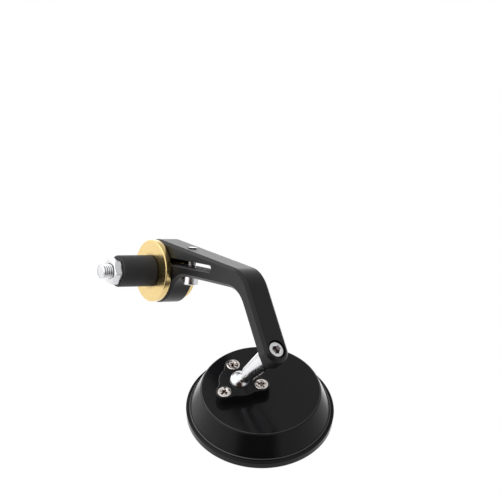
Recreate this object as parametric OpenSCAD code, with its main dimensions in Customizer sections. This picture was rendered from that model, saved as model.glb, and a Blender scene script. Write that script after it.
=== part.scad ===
// Motorcycle bar end mirror: expanding bar plug, cranked clamp arm, ball stem and round mirror head.
// Millimetres. The bar's end face is the plane X = 0 and the bar's own axis is X, with the plug on
// the -X side. The arm leaves the bar along -Y. Z is up.

/* [Bar plug] */
// Outside diameter of the rubber sleeve, for a 22 mm bar
sleeve_d = 17.2; // [15.5:0.1:19]
// Length of the rubber sleeve
sleeve_len = 21; // [18:0.2:23]
// Rounding of the rubber sleeve's end edges
sleeve_edge = 0.8; // [0.4:0.1:1.2]
// Thread diameter of the expander bolt
bolt_d = 8; // [7.5:0.1:8.5]
// Length of the expander bolt under its head
bolt_len = 45; // [44:0.5:48]
// Diameter of the expander bolt's round head
bolt_head_d = 13; // [12:0.1:13.4]
// Height of the expander bolt's round head
bolt_head_h = 5; // [4.5:0.1:5.5]
// Width across flats of the hexagon socket in the expander bolt
bolt_key = 5; // [4:0.5:5]
// Diameter of the washer under the expander bolt's head
bolt_washer_d = 13.4; // [13:0.1:13.8]
// Thickness of the washer under the expander bolt's head
bolt_washer_t = 1.1; // [0.8:0.1:1.3]
// Width across flats of the expander nut
nut_af = 13; // [12:0.1:14]
// Thickness of the expander nut
nut_t = 4.8; // [3.5:0.1:5.5]

/* [Hub] */
// Diameter of the inner gold flange, against the bar's end
collar_d = 34; // [32:0.2:36]
// Thickness of the inner flange
collar_t = 3.5; // [2.5:0.1:5]
// Diameter of the outer gold flange, on the cap
cap_d = 30.8; // [29:0.2:33]
// Thickness of the outer flange
cap_t = 2.2; // [1.9:0.1:3]
// Bevel round the gold flanges' edges
collar_bevel = 0.4; // [0.2:0.1:0.7]
// Diameter of the hub that the arm clamps on
hub_d = 22; // [21:0.1:23]
// Diameter of the outer cap's register inside the hub
register_d = 17; // [16:0.1:18]
// Length of the outer cap's register inside the hub
register_len = 7.5; // [7:0.1:8.5]
// Depth of the pocket for the bolt's head in the outer cap
head_pocket = 6; // [5.6:0.1:6.3]
// Diameter of the pocket for the bolt's head in the outer cap
head_pocket_d = 14; // [13.9:0.1:14.5]

/* [Arm] */
// Outside diameter of the arm's clamp ring
ring_d = 34.8; // [33:0.2:37]
// Thickness of the arm, along the bar
arm_t = 14.1; // [13:0.1:16]
// Distance from the bar's axis to the arm's knee
reach = 83.5; // [75:0.5:95]
// Angle that the arm turns down at its knee
bend_deg = 50; // [45:1:55]
// Width of the arm at its knee
knee_w = 9.7; // [9:0.1:11]
// Widening of the upper arm towards the ring, for each millimetre of length
arm_taper = 0.088; // [0.08:0.002:0.1]
// Width of the lower arm
leg_w = 8.2; // [7.8:0.1:9]
// Length from the knee to the stem's screw
leg_len = 43.8; // [38:0.1:52]
// Radius of the knee's inner and outer bend
knee_r = 18; // [14:0.5:22]
// Radius of the fillet between the clamp ring and the upper arm
root_r = 18; // [14:0.5:22]
// Bevel along the arm's edges
arm_bevel = 1.5; // [1:0.1:2]
// Width of the clamp slot
slot_w = 4.1; // [3.5:0.1:4.5]
// Distance from the bar's axis to the slot's round end
slot_end = 55; // [48:0.5:62]
// Height of the slot's middle line above the bar's axis, at that axis
slot_rise = 6.7; // [6.4:0.1:7]
// Climb of the slot's middle line, for each millimetre of length
slot_climb = 0.1; // [0.09:0.005:0.11]
// Height of the round pad under the stem at the arm's end
pad_h = 1; // [0.6:0.1:1.5]
// Distance from the bar's axis to the pinch bolt, at its seat under the arm
pinch_at = 25.3; // [24.5:0.1:26.5]
// Length of the pinch bolt under its head
pinch_len = 14.5; // [13:0.5:14.5]

/* [Socket screws] */
// Thread diameter of the pinch bolt and the stem's screw
cap_screw_d = 5; // [4.5:0.1:5.3]
// Head diameter of the pinch bolt and the stem's screw
cap_head_d = 8.5; // [8:0.1:9]
// Head height of the pinch bolt and the stem's screw
cap_head_h = 5; // [4.5:0.1:5.2]
// Width across flats of the hexagon sockets in these screws
cap_key = 4; // [3:0.5:4]
// Length of the stem's screw under its head
stem_screw_len = 16; // [12:0.5:17]
// Diameter of the recess for the stem's screw head
head_recess_d = 9.7; // [9.5:0.1:10.5]
// Depth of the recess for the stem's screw head
head_recess = 5.4; // [5.2:0.1:5.6]

/* [Ball stem] */
// Diameter of the ball
ball_d = 11; // [10.6:0.1:11.2]
// Distance from the arm's outer face to the ball's centre
ball_drop = 38.7; // [36:0.1:44]
// Diameter of the stem's neck behind the ball
neck_d = 5; // [4.5:0.1:5.5]
// Distance from the ball's centre to the stem's shoulder
shoulder_at = 9.5; // [8.5:0.1:11]
// Diameter of the stem at its shoulder
shoulder_d = 8.2; // [7.6:0.1:8.6]
// Diameter of the stem where it meets the arm
stem_base_d = 10.4; // [9.6:0.1:11]
// Bevel round the stem's shoulder
shoulder_bevel = 0.7; // [0.3:0.1:1]

/* [Ball socket] */
// Thickness of the three-cornered socket plate
plate_t = 5; // [4.6:0.1:5.4]
// Distance from the plate's screws to the ball's centre line
plate_screw_r = 11.5; // [11.2:0.1:12.5]
// Turn of the plate's three corners from the line towards the head's centre
plate_turn = -5; // [-15:1:15]
// Radius of the plate's three rounded corners
plate_corner_r = 4.3; // [4.3:0.1:5]
// Radius of the plate's round middle, which bows its sides
plate_middle_r = 10.9; // [10.6:0.1:11.6]
// Radius of the round, inside the middle, that the corners' sides run off
plate_root_r = 9.2; // [8.8:0.1:10]
// Bevel round the plate's upper edge
plate_bevel = 0.4; // [0.2:0.1:0.5]
// Height of the plate's upper face above the ball's centre
lip_h = 1; // [0.8:0.1:1.4]
// Outside diameter of the nylon seat under the ball
seat_d = 14; // [13.4:0.1:14.4]
// Height of the nylon seat's rim below the ball's centre
seat_drop = 1.2; // [1.1:0.1:1.5]
// Height of the nylon seat
seat_h = 5.3; // [5:0.1:5.8]
// Diameter of the hole through the nylon seat
seat_hole_d = 5; // [4:0.5:6]
// Height of the dished spring washer under the seat
spring_h = 1.6; // [1.2:0.1:2]
// Thickness of the dished spring washer's metal
spring_t = 0.8; // [0.6:0.1:1]
// Hole in the dished spring washer
spring_hole_d = 7; // [6:0.2:8]
// Thread diameter of the plate's three screws
plate_screw_d = 4; // [3.5:0.1:4.2]
// Head diameter of the plate's three screws
plate_head_d = 7.2; // [6.8:0.1:7.4]
// Length of the plate's three screws, with the head
plate_screw_len = 12; // [10:0.5:13]

/* [Mirror head] */
// Diameter of the flat back of the head
back_d = 62.8; // [58:0.2:65]
// Bevel round the flat back
back_bevel = 0.8; // [0.4:0.1:1.2]
// Diameter of the cone's foot, where the bezel ring starts
foot_d = 72.6; // [71:0.2:74]
// Depth from the flat back to the cone's foot
foot_depth = 12.3; // [11.5:0.1:13]
// Outside diameter of the bezel ring
bezel_d = 77.4; // [76:0.2:80]
// Depth from the flat back to the bezel ring's front face
head_depth = 17.4; // [17:0.1:18.5]
// Distance from the head's centre to the ball socket's centre
socket_offset = 11.2; // [8:0.2:13]
// Thickness of the housing's skirt inside the bezel ring, past the cone's foot
skirt_h = 1.7; // [1.4:0.1:2]
// Step between the skirt and the cone's foot
skirt_step = 0.6; // [0.4:0.1:1]
// Height of the groove between the cone's foot and the bezel ring
groove_h = 0.7; // [0.4:0.1:1]
// Thickness of the foam pad behind the glass
pad_t = 0.6; // [0.4:0.1:0.8]
// Thickness of the glass at its edge
glass_t = 1.8; // [1.4:0.1:2]
// Radius of the convex glass's curve
glass_curve_r = 1000; // [800:50:1600]
// Width of the bezel ring's lip over the glass
bezel_lip = 1.6; // [1:0.1:2.5]
// Rounding of the bezel ring's outer edges
bezel_edge = 0.6; // [0.3:0.1:0.9]

/* [Pose] */
// Turn of the tilt direction about the stem, as photographed
stem_turn = -138; // [-170:1:-110]
// Tilt of the head off the stem, as photographed
head_tilt = 31; // [0:1:40]
// Turn of the head about the ball socket's centre line, as photographed
head_turn = 108; // [80:1:140]

/* [Clearances] */
// Gap between the hub and the arm's bore, all round
hub_gap = 0.05; // [0.02:0.01:0.08]
// Gap between the arm's faces and each flange
side_gap = 0.1; // [0.05:0.05:0.2]
// Gap round parts that seat in each other and don't move
seat_gap = 0.05; // [0.02:0.01:0.08]
// Gap round a screw in its tapped hole
thread_gap = 0.02; // [0.01:0.01:0.04]
// Gap round a screw in its clearance hole
screw_gap = 0.15; // [0.1:0.05:0.3]
// Gap between the ball and its seats
ball_gap = 0.07; // [0.04:0.01:0.1]
// Gap between the stem and the pad that it stands on
stem_gap = 0.02; // [0.01:0.01:0.04]

/* [Hidden] */
$fn = 64;

// How far a cut runs past the face that it opens
past = 1;
// How far a cutter reaches past everything
far = 200;

gold = [0.86, 0.68, 0.32];
black = [0.10, 0.10, 0.11];
satin = [0.16, 0.16, 0.17];
steel = [0.78, 0.79, 0.80];
chrome = [0.90, 0.90, 0.92];

// Stations along the bar's axis, from the bar's end face outwards
arm_x0 = collar_t + side_gap;
arm_x1 = arm_x0 + arm_t;
arm_mid = arm_x0 + arm_t / 2;
hub_end = arm_x1 + side_gap;
cap_face = hub_end + cap_t;
head_seat_x = cap_face - head_pocket;
washer_x = head_seat_x - bolt_washer_t;
bolt_tip_x = head_seat_x - bolt_len;

// Arm outline, drawn with distance from the bar's axis across and height up
ring_r = ring_d / 2;
arm_top = ring_r;
taper_deg = atan(arm_taper);
leg_dir = [cos(bend_deg), -sin(bend_deg)];
leg_in = [-sin(bend_deg), -cos(bend_deg)];
knee_out = [reach, arm_top];
knee_low = [reach, arm_top - knee_w];
leg_low = knee_out + leg_w * leg_in;
knee_in = cross_point(knee_low, taper_deg, leg_low, -bend_deg);
// The end's round is a little larger than half the arm, so that it meets the sides at a slight angle
end_round_r = arm_t / 2 + 0.1;
pad_r = arm_t / 2 - 1.2;
leg_end = leg_len + arm_t;

// Fillet between the ring and the arm's lower edge
low_gap = reach * sin(taper_deg) - (arm_top - knee_w) * cos(taper_deg);
root_side = -root_r - low_gap;
root_along = sqrt(pow(ring_r + root_r, 2) - pow(root_side, 2));
root_c = root_along * heading(taper_deg) + root_side * heading(taper_deg + 90);
root_deg = atan2(root_c[1], root_c[0]);

// Ball centre and the stem's stations, measured from the ball towards the arm
screw_face = knee_out + leg_len * leg_dir;
ball_c = screw_face + ball_drop * leg_in;
pad_face = ball_drop - leg_w - pad_h;
stem_end = pad_face - stem_gap;
screw_seat = ball_drop - head_recess;

// Levels in the head, measured along its axis from the ball's centre
plate_top = lip_h;
back_z = plate_top - plate_t;
foot_z = back_z - foot_depth;
skirt_z = foot_z - skirt_h;
glass_back_z = skirt_z - pad_t;
front_z = back_z - head_depth;
skirt_r = foot_d / 2 - skirt_step;
bezel_r = bezel_d / 2;
seat_top = -seat_drop;
seat_bottom = seat_top - seat_h;
spring_bottom = seat_bottom - seat_gap - spring_h;
pocket_floor = spring_bottom - seat_gap;
csk_h = (plate_head_d - plate_screw_d) / 2;
csk_land = 0.3;

// Cross recesses of the plate's screws: length, width and depth of the arms, and each screw's turn
cross_len = 4;
cross_w = 0.9;
cross_deep = 1.3;
cross_turn = [15, 45, 3];

function heading(a) = [cos(a), sin(a)];

// Crossing of two lines, each given by a point and its direction
function cross_point(p, a, q, b) =
    let (d = heading(a), e = heading(b), w = q - p)
    p + d * ((w[0] * e[1] - w[1] * e[0]) / (d[0] * e[1] - d[1] * e[0]));

// Stations round a corner: place, direction of travel and share of the bevel
function corner(p, from, to, r, steps) =
    let (turn = to - from, side = turn > 0 ? 1 : -1,
         start = p - r * tan(abs(turn) / 2) * heading(from),
         c = start + side * r * heading(from + 90))
    [for (i = [0:steps]) let (h = from + turn * i / steps) [c - side * r * heading(h + 90), h, 1]];

// Numbers of facets round the ring, its fillet and the knee
ring_steps = 56;
root_steps = 12;
knee_steps = 10;

// The arm's outline, anticlockwise from the top of the clamp ring
arm_path = concat(
    [for (i = [0:ring_steps]) let (a = 90 + (270 + root_deg) * i / ring_steps)
        [ring_r * heading(a), a + 90, 1]],
    [for (i = [1:root_steps]) let (a = 180 + root_deg - (90 + root_deg - taper_deg) * i / root_steps)
        [root_c + root_r * heading(a), a - 90 + 360, 1]],
    corner(knee_in, taper_deg + 360, 360 - bend_deg, knee_r, knee_steps),
    [[leg_low + leg_end * leg_dir, 360 - bend_deg, 1],
     [knee_out + leg_end * leg_dir, 540 - bend_deg, 1]],
    corner(knee_out, 540 - bend_deg, 540, knee_r, knee_steps));

// Puts children drawn in the outline's plane into the arm's own plane, from the bar outwards
module in_arm_plane() {
    rotate([90, 0, -90]) translate([0, 0, -arm_x1]) children();
}

// Stem frame: origin at the ball's centre, Z towards the arm's end
module at_ball() {
    translate([0, -ball_c[0], ball_c[1]]) rotate([bend_deg, 0, 0]) translate([arm_mid, 0, 0]) children();
}

// Head frame: origin at the ball's centre, Z out of the head's back, X towards the head's centre
module at_socket() {
    at_ball() rotate([0, 0, stem_turn]) rotate([head_tilt, 0, 0]) rotate([0, 0, head_turn]) children();
}

module at_head() {
    at_socket() translate([socket_offset, 0, 0]) children();
}

// A disc along X with bevelled rims
module collar_disc(d, t) {
    rotate([0, 90, 0]) union() {
        cylinder(h = collar_bevel, d1 = d - 2 * collar_bevel, d2 = d);
        translate([0, 0, collar_bevel]) cylinder(h = t - 2 * collar_bevel, d = d);
        translate([0, 0, t - collar_bevel]) cylinder(h = collar_bevel, d1 = d, d2 = d - 2 * collar_bevel);
    }
}

// A plain round along X, from x0 to x1
module bar_round(d, x0, x1) {
    translate([x0, 0, 0]) rotate([0, 90, 0]) cylinder(h = x1 - x0, d = d);
}

// A hexagon along Z given by its width across flats
module hexagon(af, h) {
    cylinder(h = h, d = af / cos(30), $fn = 6);
}

// A socket cap screw along Z: head above the seat at z = 0, shank below
module cap_screw(d, head_d, head_h, len, key) {
    edge = 0.4;
    key_floor = head_h * 0.4;
    difference() {
        union() {
            cylinder(h = head_h - edge, d = head_d);
            translate([0, 0, head_h - edge]) cylinder(h = edge, d1 = head_d, d2 = head_d - 2 * edge);
            translate([0, 0, edge - len]) cylinder(h = len - edge + past / 2, d = d);
            translate([0, 0, -len]) cylinder(h = edge, d1 = d - 2 * edge, d2 = d);
        }
        translate([0, 0, key_floor]) hexagon(key, head_h);
    }
}

module end_hub() color(gold) difference() {
    union() {
        collar_disc(collar_d, collar_t);
        bar_round(hub_d, collar_t / 2, hub_end);
    }
    bar_round(bolt_d + 2 * screw_gap, -past, hub_end + past);
    bar_round(register_d + 2 * seat_gap, hub_end - register_len - seat_gap, hub_end + past);
}

module end_cap() color(gold) difference() {
    union() {
        translate([hub_end, 0, 0]) collar_disc(cap_d, cap_t);
        bar_round(register_d, hub_end - register_len, hub_end + cap_t / 2);
    }
    bar_round(bolt_d + 2 * screw_gap, hub_end - register_len - past, cap_face);
    bar_round(head_pocket_d, washer_x, cap_face + past);
}

module expander_bolt() color(steel)
    translate([head_seat_x, 0, 0]) rotate([0, 90, 0])
        cap_screw(bolt_d, bolt_head_d, bolt_head_h, bolt_len, bolt_key);

module bolt_washer() color(steel) difference() {
    bar_round(bolt_washer_d, washer_x, head_seat_x);
    bar_round(bolt_d + 2 * screw_gap, washer_x - past, head_seat_x + past);
}

module expander_sleeve() color(black) difference() {
    rotate([0, -90, 0]) union() {
        cylinder(h = sleeve_len - sleeve_edge, d = sleeve_d);
        translate([0, 0, sleeve_len - sleeve_edge])
            cylinder(h = sleeve_edge, d1 = sleeve_d, d2 = sleeve_d - 2 * sleeve_edge);
    }
    bar_round(bolt_d + 2 * screw_gap, -sleeve_len - past, past);
}

// The nut's corners are cut back by a cone on its outer face
module expander_nut() color(steel) translate([-sleeve_len, 0, 0]) rotate([0, -90, 0]) difference() {
    cone_h = 1;
    cone_d = nut_af * 1.2;
    face_d = nut_af * 0.94;
    intersection() {
        rotate([0, 0, 30]) hexagon(nut_af, nut_t);
        union() {
            cylinder(h = nut_t - cone_h, d = cone_d);
            translate([0, 0, nut_t - cone_h]) cylinder(h = cone_h, d1 = cone_d, d2 = face_d);
        }
    }
    translate([0, 0, -past]) cylinder(h = nut_t + 2 * past, d = bolt_d + 2 * thread_gap);
}

// The arm's blank: its outline through the full thickness, with the edges bevelled. Each face is cut
// into a fan round a point in the bore and a strip that runs from the root to the arm's end
module arm_blank() {
    n = len(arm_path);
    root = ring_steps + root_steps;
    function inset(s, d) = s[0] - d * s[2] * heading(s[1] - 90);
    function layer(z, d) = [for (s = arm_path) let (p = inset(s, d)) [p[0], p[1], z]];
    pts = concat(layer(0, arm_bevel), layer(arm_bevel, 0),
                 layer(arm_t - arm_bevel, 0), layer(arm_t, arm_bevel),
                 [[0, ring_r / 4, 0], [0, ring_r / 4, arm_t]]);
    sides = [for (k = [0:2], i = [0:n - 1]) let (j = (i + 1) % n, a = k * n, b = a + n)
        each [[a + i, b + i, b + j], [a + i, b + j, a + j]]];
    fan = concat([for (i = [0:root - 1]) [i, i + 1]], [[root, n - 1], [n - 1, 0]]);
    strip = [for (j = [0:knee_steps + 1]) [root + j, root + j + 1, n - 2 - j, n - 1 - j]];
    floor_faces = concat([for (e = fan) [4 * n, e[0], e[1]]], strip);
    roof_faces = concat([for (e = fan) [4 * n + 1, 3 * n + e[1], 3 * n + e[0]]],
                        [for (q = strip) [for (i = [3:-1:0]) 3 * n + q[i]]]);
    polyhedron(points = pts, faces = concat(sides, floor_faces, roof_faces), convexity = 6);
}

// Screw frame at the arm's end: origin on the outer face, Z outwards, Y back towards the knee
module at_screw() {
    at_ball() translate([0, 0, ball_drop]) children();
}

// What is cut off the arm's end, so that it is round about the stem's screw and bevelled on its outer rim
module arm_end_cut() {
    half = far / 4;
    difference() {
        translate([-half, -far, -half]) cube([2 * half, far, 2 * half]);
        translate([0, 0, -far]) cylinder(h = 2 * far, r = end_round_r);
    }
    rotate([0, 0, 180]) rotate_extrude(angle = 180)
        polygon([[end_round_r - arm_bevel, 0], [end_round_r + past, -arm_bevel - past],
                 [end_round_r + past, past], [end_round_r - arm_bevel, past]]);
}

module arm() color(satin) difference() {
    union() {
        difference() {
            in_arm_plane() arm_blank();
            at_screw() arm_end_cut();
        }
        at_screw() translate([0, 0, -leg_w - pad_h])
            cylinder(h = pad_h * 2, r1 = pad_r - pad_h, r2 = pad_r + pad_h);
    }
    bar_round(hub_d + 2 * hub_gap, 0, arm_x1 + past);
    clamp_slot();
    pinch_hole();
    at_screw() stem_screw_hole();
}

// The slot that lets the ring close, from the bore to a round end
module clamp_slot() {
    start = hub_d / 3;
    run = (slot_end - slot_w / 2 - start) / cos(atan(slot_climb));
    in_arm_plane() translate([start, slot_rise + slot_climb * start, -past]) rotate([0, 0, atan(slot_climb)]) {
        translate([0, -slot_w / 2, 0]) cube([run, slot_w, arm_t + 2 * past]);
        translate([run, 0, 0]) cylinder(h = arm_t + 2 * past, d = slot_w);
    }
}

// Pinch bolt: square to the arm's lower edge, its seat cut a little into that edge
pinch_seat_cut = 0.1;
pinch_z = arm_top - knee_w - arm_taper * (reach - pinch_at) + pinch_seat_cut;
pinch_slot_h = slot_rise + slot_climb * pinch_at - pinch_z;
pinch_top_h = (arm_top - pinch_z) / cos(taper_deg);

// Pinch frame: origin on the bolt's seat, Z along the bolt, up through the arm
module at_pinch() {
    translate([arm_mid, -pinch_at, pinch_z]) rotate([-taper_deg, 0, 0]) children();
}

// Clearance hole below the slot, tapped above it, with a flat for the head and a countersunk mouth
module pinch_hole() {
    mouth = 0.4;
    seat_wall = 0.8;
    tap_d = cap_screw_d + 2 * thread_gap;
    at_pinch() {
        translate([0, 0, -ring_d]) cylinder(h = ring_d, d = cap_head_d + 2 * seat_wall);
        translate([0, 0, -past]) cylinder(h = pinch_slot_h + past, d = cap_screw_d + 2 * screw_gap);
        cylinder(h = pinch_top_h + past, d = tap_d);
        translate([0, 0, pinch_top_h - mouth])
            cylinder(h = mouth + past, d1 = tap_d, d2 = tap_d + 2 * (mouth + past));
    }
}

module stem_screw_hole() {
    translate([0, 0, -head_recess]) cylinder(h = head_recess + past, d = head_recess_d);
    translate([0, 0, -leg_w - pad_h - past])
        cylinder(h = leg_w + pad_h + past, d = cap_screw_d + 2 * screw_gap);
}

module pinch_bolt() color(chrome) at_pinch() rotate([180, 0, 0])
    cap_screw(cap_screw_d, cap_head_d, cap_head_h, pinch_len, cap_key);

// Turned in one piece: ball, waisted neck and tapered stem, tapped for the screw
module ball_stem() color(chrome) at_ball() difference() {
    union() {
        sphere(d = ball_d);
        cylinder(h = shoulder_at + shoulder_bevel, d = neck_d);
        translate([0, 0, shoulder_at])
            cylinder(h = shoulder_bevel, d1 = shoulder_d - 2 * shoulder_bevel, d2 = shoulder_d);
        translate([0, 0, shoulder_at + shoulder_bevel])
            cylinder(h = stem_end - shoulder_at - shoulder_bevel, d1 = shoulder_d, d2 = stem_base_d);
    }
    translate([0, 0, screw_seat - stem_screw_len - 0.5])
        cylinder(h = far, d = cap_screw_d + 2 * thread_gap);
}

module stem_screw() color(chrome) at_ball() translate([0, 0, screw_seat])
    cap_screw(cap_screw_d, cap_head_d, cap_head_h, stem_screw_len, cap_key);

// Nylon cup under the ball
module ball_seat() color([0.85, 0.84, 0.80]) at_socket() difference() {
    translate([0, 0, seat_bottom]) cylinder(h = seat_h, d = seat_d);
    sphere(d = ball_d + 2 * ball_gap);
    translate([0, 0, seat_bottom - past]) cylinder(h = seat_h, d = seat_hole_d);
}

// Dished washer that presses the seat against the ball
module spring_washer() color(steel) at_socket() translate([0, 0, spring_bottom])
    rotate_extrude() polygon([
        [spring_hole_d / 2, spring_h - spring_t], [seat_d / 2, 0],
        [seat_d / 2, spring_t], [spring_hole_d / 2, spring_h]]);

// The three screw places round the ball
module at_plate_screw(i) {
    at_socket() rotate([0, 0, plate_turn + 120 * i]) translate([plate_screw_r, 0, plate_top]) children();
}

// A countersunk screw's outline, from its face downwards, with a gap all round
module countersunk(gap, len) {
    land = csk_land;
    translate([0, 0, -land - gap]) cylinder(h = land + gap + (gap > 0 ? past : 0), d = plate_head_d + 2 * gap);
    translate([0, 0, -land - csk_h - gap])
        cylinder(h = csk_h, d1 = plate_screw_d + 2 * gap, d2 = plate_head_d + 2 * gap);
    translate([0, 0, -len]) cylinder(h = len - land - csk_h / 2, d = plate_screw_d + 2 * gap);
}

module plate_screw(i) color(chrome) at_plate_screw(i) difference() {
    countersunk(0, plate_screw_len);
    for (arm = [0, 90]) rotate([0, 0, cross_turn[i] + arm])
        translate([-cross_len / 2, -cross_w / 2, -cross_deep]) cube([cross_len, cross_w, cross_deep + past]);
}

module plate_screw_1() plate_screw(0);
module plate_screw_2() plate_screw(1);
module plate_screw_3() plate_screw(2);

// The plate's outline, inset by b: three rounded corners, straight flanks and arcs of the round middle
plate_steps = 6;
flank_deg = acos((plate_root_r - plate_corner_r) / plate_screw_r);
function swung(p, a) = p[0] * heading(a) + p[1] * heading(a + 90);
function plate_outline(b) = [for (i = [0:2]) each let (
    foot = flank_deg - acos((plate_root_r - b) / (plate_middle_r - b)),
    corner = [for (k = [-plate_steps:plate_steps])
        [plate_screw_r, 0] + (plate_corner_r - b) * heading(flank_deg * k / plate_steps)],
    arc = [for (k = [0:plate_steps]) (plate_middle_r - b) * heading(foot + (120 - 2 * foot) * k / plate_steps)])
    [for (p = concat(corner, arc)) swung(p, plate_turn + 120 * i)]];

// The plate's blank, bevelled round its upper edge. Both faces are fans about the ball's centre line
module plate_blank() {
    n = len(plate_outline(0));
    levels = [[back_z, 0], [plate_top - plate_bevel, 0], [plate_top, plate_bevel]];
    pts = concat([for (l = levels, p = plate_outline(l[1])) [p[0], p[1], l[0]]],
                 [[0, 0, back_z], [0, 0, plate_top]]);
    sides = [for (k = [0:1], i = [0:n - 1]) let (j = (i + 1) % n, a = k * n, b = a + n)
        each [[a + i, b + i, b + j], [a + i, b + j, a + j]]];
    ends = [for (i = [0:n - 1]) let (j = (i + 1) % n) each [[3 * n, i, j], [3 * n + 1, 2 * n + j, 2 * n + i]]];
    polyhedron(points = pts, faces = concat(sides, ends), convexity = 4);
}

// Three-cornered plate that holds the ball down, spherical inside
module socket_plate() color(black) difference() {
    at_socket() plate_blank();
    at_socket() {
        sphere(d = ball_d + 2 * ball_gap);
        translate([0, 0, back_z - past])
            cylinder(h = seat_top + seat_gap * 2 - back_z + past, d = seat_d + 2 * seat_gap);
    }
    for (i = [0:2]) at_plate_screw(i) countersunk(thread_gap, plate_screw_len);
}

// Turned housing: flat back, cone, and a skirt inside the bezel ring
module head_housing() color(black) difference() {
    at_head() rotate_extrude() polygon([
        [0, skirt_z], [skirt_r, skirt_z], [skirt_r, foot_z - groove_h], [foot_d / 2, foot_z],
        [back_d / 2, back_z - back_bevel], [back_d / 2 - back_bevel, back_z], [0, back_z]]);
    at_socket() translate([0, 0, pocket_floor]) cylinder(h = far, d = seat_d + 2 * seat_gap);
    for (i = [0:2]) at_plate_screw(i) translate([0, 0, -plate_screw_len - 0.5])
        cylinder(h = far, d = plate_screw_d + 2 * thread_gap);
}

module glass_pad() color([0.55, 0.55, 0.55]) at_head() translate([0, 0, glass_back_z])
    cylinder(h = pad_t, r = skirt_r - bezel_lip);

// Convex glass: its front bulges by the curve's own rise
glass_r = skirt_r - seat_gap;
glass_rise = glass_curve_r - sqrt(pow(glass_curve_r, 2) - pow(glass_r, 2));
module mirror_glass() color([0.75, 0.80, 0.85]) at_head() rotate_extrude() polygon(concat(
    [[0, glass_back_z], [glass_r, glass_back_z]],
    [for (i = [8:-1:0]) let (r = glass_r * i / 8)
        [r, glass_back_z - glass_t - (sqrt(pow(glass_curve_r, 2) - r * r) - glass_curve_r + glass_rise)]]));

// Thickness of the ring's lip over the glass, at its inner edge and at its root
lip_inner_t = 0.5;
lip_outer_t = 0.7;

// Ring round the housing's skirt that holds the glass, bevelled outside
module bezel_ring() color(black) at_head() rotate_extrude() polygon([
    [skirt_r + seat_gap, foot_z - groove_h - seat_gap], [bezel_r - bezel_edge, foot_z - groove_h - seat_gap],
    [bezel_r, foot_z - groove_h - seat_gap - bezel_edge], [bezel_r, front_z + bezel_edge],
    [bezel_r - bezel_edge, front_z], [glass_r - bezel_lip, front_z],
    [glass_r - bezel_lip, front_z + lip_inner_t], [skirt_r + seat_gap, front_z + lip_outer_t]]);

end_hub();
end_cap();
expander_bolt();
bolt_washer();
expander_sleeve();
expander_nut();
arm();
pinch_bolt();
ball_stem();
stem_screw();
ball_seat();
spring_washer();
socket_plate();
plate_screw_1();
plate_screw_2();
plate_screw_3();
head_housing();
glass_pad();
mirror_glass();
bezel_ring();
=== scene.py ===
import math

import bmesh
import bpy
from mathutils import Matrix, Vector


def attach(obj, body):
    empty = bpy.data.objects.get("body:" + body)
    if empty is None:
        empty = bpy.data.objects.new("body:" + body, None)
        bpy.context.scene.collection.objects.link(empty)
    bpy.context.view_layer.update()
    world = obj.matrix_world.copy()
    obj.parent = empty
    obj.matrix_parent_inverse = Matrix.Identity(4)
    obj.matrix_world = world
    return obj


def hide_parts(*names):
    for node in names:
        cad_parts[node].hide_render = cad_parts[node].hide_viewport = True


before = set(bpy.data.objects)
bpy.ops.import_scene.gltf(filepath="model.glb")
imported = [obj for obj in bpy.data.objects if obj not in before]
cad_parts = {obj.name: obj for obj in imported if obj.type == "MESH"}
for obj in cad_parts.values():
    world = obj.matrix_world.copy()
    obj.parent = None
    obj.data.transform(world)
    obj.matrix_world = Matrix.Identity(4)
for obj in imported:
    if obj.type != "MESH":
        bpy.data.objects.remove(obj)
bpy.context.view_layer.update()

# Expander bolt
# M8 low head socket screw in zinc plated steel, its thread rolled. It runs from the outer cap through
# the hub and the rubber sleeve to the nut, and its end stands out beyond the nut.


def linear(code):
    """Linear colour and alpha from an sRGB hex code."""
    parts = [int(code[i:i + 2], 16) / 255 for i in (1, 3, 5)]
    return [c / 12.92 if c <= 0.04045 else ((c + 0.055) / 1.055) ** 2.4 for c in parts] + [1.0]


def add(tree, kind, values=None, links=None, **settings):
    """Adds a shader node with its settings, its sockets' values and the sockets linked into it."""
    node = tree.nodes.new("ShaderNode" + kind)
    for key, value in settings.items():
        setattr(node, key, value)
    for key, value in (values or {}).items():
        node.inputs[key].default_value = value
    for key, socket in (links or {}).items():
        tree.links.new(socket, node.inputs[key])
    return node


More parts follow.
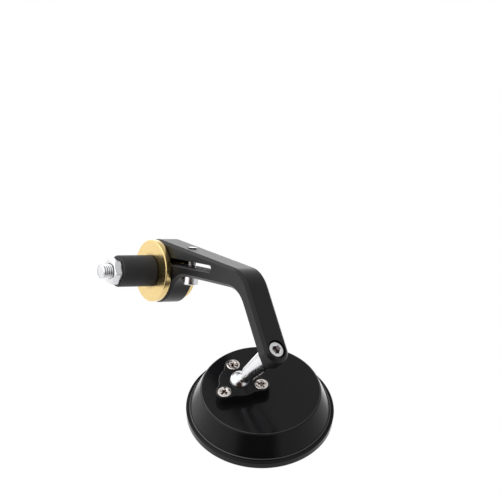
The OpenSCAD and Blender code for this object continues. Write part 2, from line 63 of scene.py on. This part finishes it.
def finish(name, plain, colours, drift, grain, rough=None, height=0.0, relief=None, rings=False, detail=4.0,
           recess=None):
    """A material, its sizes in millimetres.

    plain holds the shader's own values. The colour drifts between the two colours, in patches as wide as
    drift. The roughness runs between the two values of rough, with a grain of that width or with turning
    rings that far apart. Bumps of that height follow the same pattern, or a grain as wide as relief.
    recess is a colour and a reach, and the shares of open air at which the colour is full and at which it
    ends: it paints shade into the base colour where other surfaces enclose the surface within that reach."""
    m = bpy.data.materials.new(name)
    m.use_nodes = True
    tree = m.node_tree
    shader = tree.nodes["Principled BSDF"]
    for key, value in plain.items():
        shader.inputs[key].default_value = value
    here = {"Vector": add(tree, "TexCoord").outputs["Object"]}
    patches = add(tree, "TexNoise", {"Scale": 1000 / drift, "Detail": 4.0}, here).outputs[0]
    tone = add(tree, "Mix", {6: linear(colours[0]), 7: linear(colours[1])}, {0: patches},
               data_type="RGBA").outputs[2]
    # Painted shade: ambient occlusion mixes the base colour towards the recess colour where other surfaces are
    # close.
    if recess:
        shade, reach, full, end = recess
        air = add(tree, "AmbientOcclusion", {"Distance": reach / 1000}).outputs["AO"]
        share = add(tree, "MapRange", {"From Min": full, "From Max": end}, {"Value": air}).outputs[0]
        tone = add(tree, "Mix", {6: linear(shade)}, {0: share, 7: tone}, data_type="RGBA").outputs[2]
    tree.links.new(tone, shader.inputs["Base Color"])
    if rings:
        wave = {"Scale": math.pi / 10 * 1000 / grain, "Distortion": 0.6, "Detail": 2.0, "Detail Scale": 3.0}
        marks = add(tree, "TexWave", wave, here, wave_type="RINGS", rings_direction="Z").outputs[1]
    elif rough or height:
        marks = add(tree, "TexNoise", {"Scale": 1000 / grain, "Detail": detail}, here).outputs[0]
    if rough:
        span = {"From Min": 0.25, "From Max": 0.75, "To Min": rough[0], "To Max": rough[1]}
        tree.links.new(add(tree, "MapRange", span, {"Value": marks}).outputs[0], shader.inputs["Roughness"])
    if relief:
        marks = add(tree, "TexNoise", {"Scale": 1000 / relief, "Detail": 4.0}, here).outputs[0]
    if height:
        bumps = add(tree, "Bump", {"Strength": 1.0, "Distance": height / 1000}, {"Height": marks}).outputs[0]
        tree.links.new(bumps, shader.inputs["Normal"])
    return m


# Zinc plating gives a pale grey shine, broken up by a fine uneven grain. Painted shade makes it dull and
# brownish in the thread's roots and the corners, where other surfaces enclose it. The real grain is finer than
# the render shows, so it is drawn 1.6 mm wide, with a relief of a third of that.
zinc = finish("Zinc plated steel, bright", {"Metallic": 1.0}, ("#c6c7c9", "#dcdcde"), drift=1.6, grain=1.6,
              rough=(0.2, 0.32), height=0.01, relief=1.6 / 3, recess=("#4a463c", 0.8, 0.35, 0.75))


def piece(name, bm, mat, place, body, node, smooth=35.0):
    """Makes an object from a bmesh in millimetres, puts it in the row frame and hands it to its body."""
    bmesh.ops.scale(bm, vec=(0.001, 0.001, 0.001), verts=bm.verts)
    bmesh.ops.recalc_face_normals(bm, faces=bm.faces)
    mesh = bpy.data.meshes.new(name)
    bm.to_mesh(mesh)
    bm.free()
    mesh.shade_smooth()
    mesh.set_sharp_from_angle(angle=math.radians(smooth))
    o = bpy.data.objects.new(name, mesh)
    bpy.context.scene.collection.objects.link(o)
    o.matrix_world = place
    mesh.materials.append(mat)
    o.modifiers.new("weighted normals", "WEIGHTED_NORMAL").keep_sharp = True
    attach(o, body)
    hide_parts(node)
    return o


def hex_r(flats, turn=0.0):
    """Radius of a hexagon by angle, from its width across flats."""
    return lambda a: flats / 2 / math.cos((a + turn) % (math.pi / 3) - math.pi / 6)


def filleted(points, steps=4):
    """Rounds a profile's corners: each point is (radius, height) or (radius, height, fillet)."""
    out = []
    last = len(points) - 1
    for i, p in enumerate(points):
        if len(p) < 3 or p[2] <= 0 or i in (0, last):
            out.append(tuple(p[:2]))
            continue
        here = Vector(p[:2])
        a, b = Vector(points[i - 1][:2]) - here, Vector(points[i + 1][:2]) - here
        half = a.angle(b) / 2
        reach = min(p[2] / math.tan(half), a.length * 0.49, b.length * 0.49)
        r = reach * math.tan(half)
        centre = here + (a.normalized() + b.normalized()).normalized() * (r / math.sin(half))
        start, end = here + a.normalized() * reach - centre, here + b.normalized() * reach - centre
        turn = start.angle_signed(end)
        for k in range(steps + 1):
            q = start.copy()
            q.rotate(Matrix.Rotation(-turn * k / steps, 2))
            out.append(tuple(centre + q))
    return out


def turned(bm, rings, steps=96):
    """Joins rings into a skin. A ring is (radius or radius by angle, height), and a zero radius closes it."""
    last = None
    for r, z in rings:
        if not callable(r) and r < 1e-6:
            ring = [bm.verts.new((0, 0, z))]
        else:
            angles = [2 * math.pi * i / steps for i in range(steps)]
            radii = [r(a) if callable(r) else r for a in angles]
            ring = [bm.verts.new((q * math.cos(a), q * math.sin(a), z)) for a, q in zip(angles, radii)]
        if last:
            for i in range(steps):
                j = (i + 1) % steps
                corners = [last[i % len(last)], last[j % len(last)], ring[j % len(ring)], ring[i % len(ring)]]
                corners = [v for k, v in enumerate(corners) if v not in corners[:k]]
                if len(corners) > 2:
                    bm.faces.new(corners)
        last = ring


def threaded(bm, r, pitch, z0, z1, steps=48, per_pitch=8):
    """A screw thread's skin along Z from z0 to z1, closed at both ends, its flats and flanks as rolled."""
    depth = 0.54 * pitch
    crest, flank = 0.12, 0.66
    rows = int((z1 - z0) / pitch + 2) * per_pitch
    grid = []
    for i in range(steps + 1):
        a = 2 * math.pi * i / steps
        column = []
        for k in range(rows + 1):
            z = z0 + pitch * (k / per_pitch - 1) + pitch * i / steps
            wave = abs((k / per_pitch) % 1.0 * 2 - 1)
            radius = r - depth * min(max((wave - crest) / flank, 0.0), 1.0)
            column.append(bm.verts.new((radius * math.cos(a), radius * math.sin(a), min(max(z, z0), z1))))
        grid.append(column)
    for i in range(steps):
        for k in range(rows):
            bm.faces.new([grid[i][k], grid[i + 1][k], grid[i + 1][k + 1], grid[i][k + 1]])
    bmesh.ops.remove_doubles(bm, verts=bm.verts, dist=0.002)
    bmesh.ops.dissolve_degenerate(bm, edges=bm.edges, dist=0.002)
    bmesh.ops.holes_fill(bm, edges=[e for e in bm.edges if e.is_boundary], sides=0)


def at_x(x):
    """Frame on the bar's axis at X = x mm, with its Z along +X."""
    return Matrix.Translation((x / 1000, 0, 0)) @ Matrix.Rotation(math.radians(90), 4, "Y")


m8_r, m8_pitch, m8_key = 4.0, 1.25, 5
head_r, head_h, socket_floor = 6.5, 5, 3
shank, thread_end, bolt_len = 35, 44.8, 45
socket = [(0, socket_floor), (hex_r(m8_key), socket_floor), (hex_r(m8_key), head_h - 0.15),
          (hex_r(m8_key + 0.3), head_h)]
head = filleted([(3, head_h), (head_r, head_h, 0.5), (head_r, 0, 0.3), (m8_r, 0)])
bm = bmesh.new()
turned(bm, socket + head + [(m8_r, -shank), (0, -shank)], 144)
threaded(bm, m8_r, m8_pitch, -thread_end, 0.1 - shank)
turned(bm, filleted([(0, -bolt_len), (3.1, -bolt_len, 0.3), (3.75, -44.4), (3.3, -44.2), (0, -44.2)]), 96)
piece("expander_bolt", bm, zinc, at_x(14), "hub", "expander_bolt")

# Washer under the bolt's head
# Plain zinc plated washer, stamped, so one edge of its rim is rounder. It lies at the bottom of the
# cap's pocket and keeps the head from marking the soft cap.

washer_bore, washer_r, washer_t = 4.15, 6.7, 1.1
bm = bmesh.new()
turned(bm, filleted([(washer_bore, washer_t / 2), (washer_bore, 0, 0.1), (washer_r, 0, 0.25),
                     (washer_r, washer_t, 0.1), (washer_bore, washer_t, 0.1), (washer_bore, washer_t / 2)]))
piece("bolt_washer", bm, zinc, at_x(12.9), "hub", "bolt_washer")

# Expander nut
# Thin M8 hexagon nut, zinc plated, its corners cut back by a cone on both faces. It climbs the bolt
# and squeezes the sleeve.


def coned(flats, limit, turn):
    """A hexagon's radius, cut back to a circle of that radius."""
    return lambda a: min(hex_r(flats, turn)(a), limit)


nut_flats, nut_t = 13, 4.8
nut_turn = math.radians(26)
back_cone = [(coned(nut_flats, r, nut_turn), z) for r, z in ((6.5, 0), (7.05, -0.3), (7.6, -0.8))]
front_cone = [(coned(nut_flats, 6.1 + 1.73 * (nut_t + z), nut_turn), z)
              for z in (-3.9, -4.1, -4.3, -4.5, -4.65, -nut_t)]
bm = bmesh.new()
turned(bm, [(m8_r, -2), (m8_r, 0)] + back_cone + front_cone + [(4.6, -nut_t), (m8_r, -4.3), (m8_r, -2)], 144)
piece("expander_nut", bm, zinc, at_x(-21), "hub", "expander_nut", 25)

# Rubber sleeve
# Moulded rubber tube with rounded ends. The bolt shortens it, and it swells in the bar.

# Moulded rubber is a dark grey that scatters most of its light, so its shading is soft and it has no
# sharp highlight. The mould's texture is drawn 0.5 mm wide, about twice the real one.
rubber = finish("Rubber, moulded matt", {"Specular IOR Level": 0.2}, ("#2b2b2c", "#313133"), drift=6, grain=0.5,
                rough=(0.5, 0.65), height=0.02)

sleeve_bore, sleeve_r, sleeve_len = 4.2, 8.6, 21
bm = bmesh.new()
turned(bm, filleted([(sleeve_bore, -11), (sleeve_bore, 0, 0.3), (sleeve_r, 0, 0.5),
                     (sleeve_r, -sleeve_len, 0.9), (sleeve_bore, -sleeve_len, 0.5), (sleeve_bore, -11)], 6))
piece("expander_sleeve", bm, rubber, at_x(0), "hub", "expander_sleeve")

# Hub and outer cap
# Turned from aluminium and gold anodised. The hub's flange seats on the bar's end, the arm clamps on
# its round, and the cap closes it.

# Gold anodising over turned metal gives a pale warm shine, drawn out across the tool's rings. A painted dark
# brown, standing in for shade and for the mirrored sleeve and arm, darkens it where other surfaces enclose it
# within
# 6 mm. The real rings are about 0.05 mm apart, too fine for the render, and are drawn 0.16 mm apart.
gold = finish("Gold anodised aluminium, turned", {"Metallic": 1.0}, ("#d6bc81", "#dec489"), drift=9, grain=0.16,
              rings=True, rough=(0.2, 0.26), height=0.0006, recess=("#241608", 6, 0.3, 0.75))

gold_bore = 4.15
flange_r, flange_t, hub_r, hub_len = 17, 3.5, 11, 17.8
register_bore, register_floor = 8.55, 10.2
bm = bmesh.new()
turned(bm, filleted([(gold_bore, 8), (gold_bore, 0, 0.1), (flange_r, 0, 0.6), (flange_r, flange_t, 0.35),
                     (hub_r, flange_t, 0.1), (hub_r, hub_len, 0.2), (register_bore, hub_len),
                     (register_bore, register_floor), (gold_bore, register_floor), (gold_bore, 8)]), 192)
piece("end_hub", bm, gold, at_x(0), "hub", "end_hub")

register_r, register_len, cap_r, cap_end, pocket_r, pocket_floor = 8.5, 7.5, 15.4, 9.7, 7, 2.6
bm = bmesh.new()
turned(bm, filleted([(gold_bore, 1.5), (gold_bore, 0, 0.1), (register_r, 0, 0.3), (register_r, register_len),
                     (cap_r, register_len, 0.35), (cap_r, cap_end, 0.35), (pocket_r, cap_end, 0.3),
                     (pocket_r, pocket_floor), (gold_bore, pocket_floor), (gold_bore, 1.5)]), 192)
piece("end_cap", bm, gold, at_x(10.3), "hub", "end_cap")

# Arm
# Machined from aluminium bar: split clamp ring, long sawn slot, knee and round end, its edges
# bevelled, bead blasted and black anodised.


def refined(name, node, mat, body, ease, smooth=30.0, wider=lambda p: 1.0):
    """A copy of a CAD node, its flat faces joined, its edges eased by ease mm times wider(point), at most 5."""
    bm = bmesh.new()
    bm.from_mesh(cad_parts[node].data)
    bmesh.ops.scale(bm, vec=(1000, 1000, 1000), verts=bm.verts)
    bmesh.ops.remove_doubles(bm, verts=bm.verts, dist=0.001)
    bmesh.ops.dissolve_limit(bm, angle_limit=math.radians(0.6), verts=bm.verts, edges=bm.edges)
    clean = bmesh.new()
    seat = {v: clean.verts.new(v.co) for v in bm.verts}
    for f in bm.faces:
        clean.faces.new([seat[v] for v in f.verts])
    bm.free()
    widest = 5
    share = clean.edges.layers.float.new("bevel_weight_edge")
    for e in clean.edges:
        if len(e.link_faces) == 2 and e.calc_face_angle() > math.radians(smooth):
            e[share] = min(wider(v.co) for v in e.verts) / widest
    o = piece(name, clean, mat, Matrix.Identity(4), body, node, smooth)
    bevel = o.modifiers.new("eased edges", "BEVEL")
    bevel.width = ease * widest / 1000
    bevel.segments = 3
    bevel.limit_method = "WEIGHT"
    bevel.harden_normals = True
    o.modifiers.move(1, 0)
    return o


slot_rise, slot_climb, slot_half = 6.7, 0.1, 2.05


def above_slot(p):
    """Height in millimetres over the clamp slot's middle line, or far from it beyond the slot's ends."""
    return p.z - slot_rise + slot_climb * p.y if -56 < p.y < -11 else 99


def slot_lip(p):
    """The slot's lower lip on the side of the plug is eased four times as much as the other edges."""
    return 4.0 if p.x < 5 and -slot_half - 0.35 < above_slot(p) < -slot_half + 0.35 else 1.0


# Blasting and black anodising give a satin grey-black: even, with broad soft highlights. The grit's
# marks are drawn 0.12 mm wide, twice the real ones.
black = finish("Black anodised aluminium, blasted satin", {"Specular IOR Level": 0.22}, ("#0e0e0f", "#121214"),
               drift=14, grain=0.12, detail=3.0, rough=(0.3, 0.4), height=0.003)
arm = refined("arm", "arm", black, "arm", 0.2, wider=slot_lip)

# The saw leaves the slot's walls dull and streaked along the cut, so they don't mirror the light that
# comes in from behind. The streaks are drawn 2.4 mm apart, coarser than the real ones.
sawn = bpy.data.materials.new("Black anodised aluminium, sawn")
sawn.use_nodes = True
t = sawn.node_tree
shader = t.nodes["Principled BSDF"]
shader.inputs["Specular IOR Level"].default_value = 0.01
streak_gap = 2.4
wave = {"Scale": math.pi / 10 * 1000 / streak_gap, "Distortion": 1.0, "Detail": 2.0}
streaks = add(t, "TexWave", wave, {"Vector": add(t, "TexCoord").outputs["Object"]}, wave_type="BANDS",
              bands_direction="X").outputs[1]
tone = add(t, "Mix", {6: linear("#2c2c2d"), 7: linear("#6e6e70")}, {0: streaks}, data_type="RGBA").outputs[2]
dull = add(t, "MapRange", {"From Min": 0.25, "From Max": 0.75, "To Min": 0.4, "To Max": 0.6},
           {"Value": streaks}).outputs[0]
t.links.new(tone, shader.inputs["Base Color"])
t.links.new(dull, shader.inputs["Roughness"])
arm.data.materials.append(sawn)
for f in arm.data.polygons:
    if abs(f.normal.x) < 0.3 and abs(above_slot(f.center * 1000)) < slot_half + 0.25:
        f.material_index = 1

# Pinch bolt
# M5 socket cap screw, turned, its thread rolled and then chrome plated. It goes from below through the
# clamp's lower half into its upper half, and its end shows flush in the arm's top face.


def m5_screw(length, shank):
    """An M5 socket cap screw: head above Z = 0, then a plain shank and a rolled thread below."""
    r, pitch, key, head_r, head_h = 2.5, 0.8, 4, 4.25, 5.0
    floor = head_h * 0.42
    bm = bmesh.new()
    socket = [(0, floor), (hex_r(key), floor), (hex_r(key), head_h - 0.45), (hex_r(key + 0.8), head_h)]
    rim = [(head_r - 0.7, head_h), (head_r - 0.35, head_h - 0.1), (head_r - 0.1, head_h - 0.35),
           (head_r, head_h - 0.6)]
    foot = [(head_r, 0.5), (head_r - 0.15, 0.1), (head_r - 0.25, 0), (r, 0), (r, -shank), (0, -shank)]
    turned(bm, socket + rim + foot, 144)
    threaded(bm, r, pitch, 0.01 - length, 0.01 - shank)
    return bm


# Polished chrome mirrors the light and the dark sides of the studio sharply, with a slight haze from
# handling. Painted brown shade darkens it deep in the socket and in the thread's roots. The haze is drawn 2.5
# mm wide.
chrome = finish("Chrome plated steel, polished", {"Metallic": 1.0}, ("#cacacc", "#dfdfe2"), drift=2.5,
                grain=2.5, rough=(0.14, 0.22), recess=("#4c2a1b", 2.8, 0.35, 0.75))

arm_taper = 0.088
pinch_turn = math.pi - math.atan(arm_taper)
pinch_seat = Matrix.Translation((0.01065, -0.0253, 0.002678)) @ Matrix.Rotation(pinch_turn, 4, "X")
piece("pinch_bolt", m5_screw(15.25, 1.5), chrome, pinch_seat, "arm", "pinch_bolt")

# Ball stem and its screw
# Turned steel: ball, waisted neck, shoulder and tapered stem, chrome plated. An M5 socket cap screw
# holds it from the arm's outer face.

ball_centre = Vector((0.01065, -0.082008, -0.041029))
stem_lean = 50
stem_frame = Matrix.Translation(ball_centre) @ Matrix.Rotation(math.radians(stem_lean), 4, "X")
ball_r, neck_r, stem_end, stem_bore = 5.5, 2.5, 29.46, 2.6
ball = [(ball_r * math.sin(a), -ball_r * math.cos(a)) for a in (math.radians(d) for d in range(0, 148, 4))]
stem = filleted([(3.0, 4.7), (neck_r, 5.6, 1.0), (neck_r, 9.5, 0.5), (3.6, 9.5), (4.1, 10.2, 0.4),
                 (5.2, stem_end, 0.3), (stem_bore, stem_end)])
bm = bmesh.new()
turned(bm, ball + stem + [(stem_bore, 18), (0, 17)])
piece("ball_stem", bm, chrome, stem_frame, "stem", "ball_stem", 40)

screw_frame = stem_frame @ Matrix.Translation((0, 0, 0.0333))
piece("stem_screw", m5_screw(16, 2.5), chrome, screw_frame, "arm", "stem_screw")

# Ball seat and spring washer
# Inside the head: a moulded nylon cup under the ball, pressed up by a dished washer of hard steel.

# Moulded nylon is creamy white and lets a little light in, so its edges look soft.
nylon = finish("Nylon, moulded", {"Subsurface Weight": 0.1}, ("#d9d6ca", "#e6e3d8"), drift=2, grain=2,
               rough=(0.38, 0.5))

head_tilt, tilt_side, plate_turn = 31, -138, 108
socket_frame = (stem_frame @ Matrix.Rotation(math.radians(tilt_side), 4, "Z")
                @ Matrix.Rotation(math.radians(head_tilt), 4, "X")
                @ Matrix.Rotation(math.radians(plate_turn), 4, "Z"))
cup_r, cup_bore, cup_floor, seat_r, seat_foot = 5.57, 2.5, -5.0, 7, -6.5
cup = [(cup_r * math.cos(a), -cup_r * math.sin(a)) for a in (math.radians(d) for d in range(13, 64, 5))]
body = filleted([(cup_bore, -6), (cup_bore, seat_foot, 0.1), (seat_r, seat_foot, 0.3), (seat_r, -1.2, 0.2),
                 (5.6, -1.2)])
bm = bmesh.new()
turned(bm, body + cup + [(cup_bore, cup_floor), (cup_bore, -6)])
piece("ball_seat", bm, nylon, socket_frame, "seat", "ball_seat")

# Hardened steel is a dull blue-grey, with a fine scale that is drawn 1.2 mm wide. Painted shade darkens it
# where other surfaces enclose it within 3 mm.
spring = finish("Spring steel, hardened", {"Metallic": 1.0}, ("#4b4c4f", "#66686c"), drift=1.2, grain=1.2,
                rough=(0.3, 0.45), height=0.01, relief=0.4, recess=("#2c2d30", 3, 0.35, 0.75))
dish_bore, dish_r, dish_z, dish_t = 3.5, 7, -7.35, 0.8
bm = bmesh.new()
turned(bm, filleted([(dish_bore, -7.0), (dish_bore, dish_z, 0.1), (dish_r, dish_z - dish_t, 0.1),
                     (dish_r, dish_z, 0.2), (dish_bore, dish_z + dish_t, 0.1), (dish_bore, -7.0)]))
piece("spring_washer", bm, spring, socket_frame, "seat", "spring_washer")

# Socket plate and its screws
# Machined plate, black anodised as the arm is, spherical inside. It holds the ball down, with three M4
# countersunk cross-recess screws.

refined("socket_plate", "socket_plate", black, "head", 0.15, 25)

# Nickel plating is a warmer and softer shine than chrome. Painted brown shade in its crosses makes them look
# deep.
nickel = finish("Nickel plated steel, satin", {"Metallic": 1.0}, ("#d2cac5", "#e0d9d4"), drift=0.8, grain=0.8,
                rough=(0.1, 0.16), recess=("#5a2f1c", 1.5, 0.35, 0.75))


def cross_r(reach, half_width, turn):
    """Radius of a cross-shaped recess by angle, from its arms' length and half width."""
    def radius(a):
        phi = (a + turn + math.pi / 4) % (math.pi / 2) - math.pi / 4
        return min(reach / math.cos(phi), half_width / max(abs(math.sin(phi)), 1e-6))
    return radius


m4_r, m4_pitch, m4_len, screw_circle = 2.0, 0.7, 11, 0.0115
for number, turn, lean in ((1, -0.26, 0), (2, -0.79, 0), (3, -0.05, -5)):
    name = "plate_screw_%d" % number
    cross = [(0, -1.9), (cross_r(0.6, 0.25, turn), -1.6), (cross_r(1.5, 0.45, turn), -0.5),
             (cross_r(1.95, 0.6, turn), 0.14), (cross_r(2.05, 0.7, turn), 0.2)]
    head = [(3.15, 0.2), (3.35, 0.12), (3.5, -0.04), (3.6, -0.25), (3.6, -0.35), (m4_r, -1.95)]
    bm = bmesh.new()
    turned(bm, cross + head, 192)
    threaded(bm, m4_r, m4_pitch, -m4_len, -1.9)
    at = (socket_frame @ Matrix.Rotation(math.radians(120 * (number - 1) - 5), 4, "Z")
          @ Matrix.Translation((screw_circle, 0, 0.001)))
    at = at @ Matrix.Rotation(math.radians(lean), 4, at.to_3x3().inverted() @ Vector((0, 1, 0)))
    piece(name, bm, nickel, at, "head", name)

# Mirror housing
# Turned from aluminium: flat back, cone and skirt, black anodised. The three plate screws go into its
# back, and its skirt carries the ring.

# The ball sits 11.2 mm off the housing's axis. The turn about that axis only keeps the box small.
ball_offset, box_turn = 0.0112, 40
head_frame = (socket_frame @ Matrix.Translation((ball_offset, 0, 0))
              @ Matrix.Rotation(math.radians(box_turn), 4, "Z"))

# Turned and anodised without blasting it is a deep black that mirrors its surroundings dimly, drawn
# out across the facing tool's rings. The real rings are about 0.1 mm apart and are drawn 0.22 mm apart.
gloss = finish("Black anodised aluminium, turned", {"Specular IOR Level": 0.15}, ("#0c0c0d", "#111113"),
               drift=18, grain=0.22, rings=True, rough=(0.14, 0.2), height=0.0004)

# The thin bands along the housing's back edge and the ring's groove get a slightly lighter colour and a
# stronger shine, so they catch the light as thin grey lines.
edge = finish("Black anodised aluminium, lighter edge band", {"Specular IOR Level": 0.6}, ("#161617", "#1c1c1e"),
              drift=8, grain=8, rough=(0.2, 0.26))


def edged(o, r0, r1, z0, z1):
    """Gives the lighter, shinier edge finish to the faces between two radii and two heights in millimetres."""
    o.data.materials.append(edge)
    for f in o.data.polygons:
        r, z = math.hypot(f.center.x, f.center.y) * 1000, f.center.z * 1000
        if r0 < r < r1 and z0 < z < z1:
            f.material_index = 1


skirt_r, cone_r, back_r, rim_z, back_z = 35.7, 36.3, 30.7, -18, -4
bm = bmesh.new()
turned(bm, filleted([(0, rim_z), (skirt_r, rim_z, 0.2), (skirt_r, -17, 0.1), (cone_r, -16.3, 0.3),
                     (31.4, -4.7, 0.4), (back_r, back_z, 0.4), (0, back_z)], 5), 256)
edged(piece("head_housing", bm, gloss, head_frame, "head", "head_housing"), 30.4, 31.05, -4.4, -3.9)

# Foam pad, glass and bezel ring
# The silvered convex glass is stuck to the housing on a foam pad, and the turned ring over its edge
# is pressed on the housing's skirt.

# Closed-cell foam is a dull dark grey with small cells, drawn 0.4 mm wide.
foam = finish("Foam, closed cell", {"Roughness": 0.9}, ("#2e2e30", "#3a3a3c"), drift=0.4, grain=0.4,
              height=0.05)
pad_r, pad_t = 34.1, 0.6
bm = bmesh.new()
turned(bm, [(0, rim_z), (pad_r, rim_z), (pad_r, rim_z - pad_t), (0, rim_z - pad_t)])
piece("glass_pad", bm, foam, head_frame, "head", "glass_pad")

# Silvered glass mirrors sharply with a slight blue cast, under the glass's own clear reflection.
mirror = finish("Silvered glass, convex", {"Metallic": 1.0, "Coat Weight": 0.5, "Coat Roughness": 0.02},
                ("#c6cfd6", "#ced6dc"), drift=20, grain=20, rough=(0.015, 0.03))
glass_r, glass_crown, curve_r = 35.65, -21.04, 1000
bulge = [(r, glass_crown + r ** 2 / (2 * curve_r)) for r in (glass_r * i / 16 for i in range(17))]
bm = bmesh.new()
turned(bm, bulge + [(glass_r, -18.6), (0, -18.6)], 256)
piece("mirror_glass", bm, mirror, head_frame, "head", "mirror_glass")

fit_r, lip_r, ring_r, ring_end = 35.75, 34.05, 38.7, -21.4
front_groove = [(36.42, -16.42, 0.1), (36.95, -16.7, 0.15), (37.25, -17.25, 0.05), (37.5, -17.35),
                (37.7, -17.15, 0.1)]
bm = bmesh.new()
turned(bm, filleted([(fit_r, -19), (fit_r, -17.1)] + front_groove
                    + [(ring_r, -17.5, 0.5), (ring_r, ring_end, 0.5), (lip_r, ring_end, 0.25),
                       (lip_r, -20.9, 0.1), (fit_r, -20.7, 0.1), (fit_r, -19)], 5), 256)
edged(piece("bezel_ring", bm, gloss, head_frame, "head", "bezel_ring"), 36.3, 37.05, -16.85, -16.3)

# Studio
# A plain pale floor well below the part, in a soft white surround that the camera sees as plain white.
# Polished metal mirrors its brighter far wall, its light cards and a brown desk on the camera's side.

world = bpy.data.worlds.new("studio")
bpy.context.scene.world = world
world.use_nodes = True
t = world.node_tree
around = add(t, "TexCoord").outputs["Generated"]
level = None
desk_side, desk_start, desk_full = (-0.52, -0.76, -0.39), 0.8, 0.92
for toward, start, full, before, at_full in (
        ((0.566, 0.824, 0.0), -0.95, -0.5, 0.8, 0.88),  # wall on the camera's side, slightly dimmer
        ((0.566, 0.824, 0.0), 0.8, 1.0, 1.0, 2.3),  # wall behind the part
        ((-0.9, 0.0, 0.43), 0.72, 0.85, 1.0, 1.9),  # card on the plug's side
        ((-0.45, 0.8, 0.4), 0.8, 0.97, 1.0, 1.7),  # card behind and above
        ((0.6, -0.1, 0.79), 0.8, 0.95, 1.0, 0.85),  # dimmer ceiling
        ((-0.83, 0.55, -0.1), 0.6, 0.9, 1.0, 1.35),  # light from low on the plug's side
        (desk_side, desk_start, desk_full, 1.0, 0.2)):
    near = add(t, "VectorMath", {1: toward}, {0: around}, operation="DOT_PRODUCT").outputs["Value"]
    patch = add(t, "MapRange", {"From Min": start, "From Max": full, "To Min": before, "To Max": at_full},
                {"Value": near}).outputs[0]
    level = add(t, "Math", links={0: level, 1: patch}, operation="MULTIPLY").outputs[0] if level else patch
desk = add(t, "MapRange", {"From Min": desk_start, "From Max": desk_full}, {"Value": near}).outputs[0]
shade = add(t, "Mix", {6: (1, 1, 1, 1), 7: linear("#7e5038")}, {0: desk}, data_type="RGBA").outputs[2]
direct = add(t, "LightPath").outputs["Is Camera Ray"]
backdrop = add(t, "Mix", {7: (1, 1, 1, 1)}, {0: direct, 6: shade}, data_type="RGBA").outputs[2]
strength = add(t, "Mix", {3: 1.0}, {0: direct, 2: level}).outputs[0]
t.links.new(backdrop, t.nodes["Background"].inputs["Color"])
t.links.new(strength, t.nodes["Background"].inputs["Strength"])

# Paper scatters all its light, and only its tone varies a little.
paper = finish("White paper", {"Roughness": 0.9}, ("#dedede", "#e4e4e4"), drift=5, grain=5)
floor_z, floor_half, floor_shift = -0.35, (1.3, 0.45, 1), (0, 0.15, 0)
bm = bmesh.new()
bmesh.ops.create_grid(bm, x_segments=1, y_segments=1, size=1)
bmesh.ops.scale(bm, vec=floor_half, verts=bm.verts)
bmesh.ops.translate(bm, vec=floor_shift, verts=bm.verts)
mesh = bpy.data.meshes.new("floor")
bm.to_mesh(mesh)
bm.free()
mesh.materials.append(paper)
floor = bpy.data.objects.new("floor", mesh)
floor.location.z = floor_z
floor.rotation_euler.z = -math.atan2(0.566, 0.824)
bpy.context.scene.collection.objects.link(floor)

# A wide soft light over the floor behind the part, which polished metal doesn't mirror.
lamp = bpy.data.lights.new("floor wash", "AREA")
lamp.shape = "RECTANGLE"
lamp.size = lamp.size_y = 1.2
lamp.energy = 26
wash = bpy.data.objects.new("floor wash", lamp)
wash.location = (-0.7, 0.8, 1.4)
wash.rotation_euler = (Vector((-0.8, 0.8, floor_z)) - wash.location).to_track_quat("-Z", "Y").to_euler()
wash.visible_glossy = False
bpy.context.scene.collection.objects.link(wash)

# A long lens on the plug's side, its place and turn fitted to the outlines of the photograph.
lens = bpy.data.cameras.new("camera")
lens.lens = 116.6
lens.sensor_width = 36
lens.clip_start = 0.01
camera = bpy.data.objects.new("camera", lens)
camera.matrix_world = Matrix(((0.829625, 0.005792, -0.558291, -0.451192),
                              (-0.548136, 0.198574, -0.812475, -0.750631),
                              (0.106156, 0.980069, 0.167917, 0.166323), (0, 0, 0, 1)))
bpy.context.scene.collection.objects.link(camera)
bpy.context.scene.camera = camera
bpy.context.scene.view_settings.view_transform = "Standard"
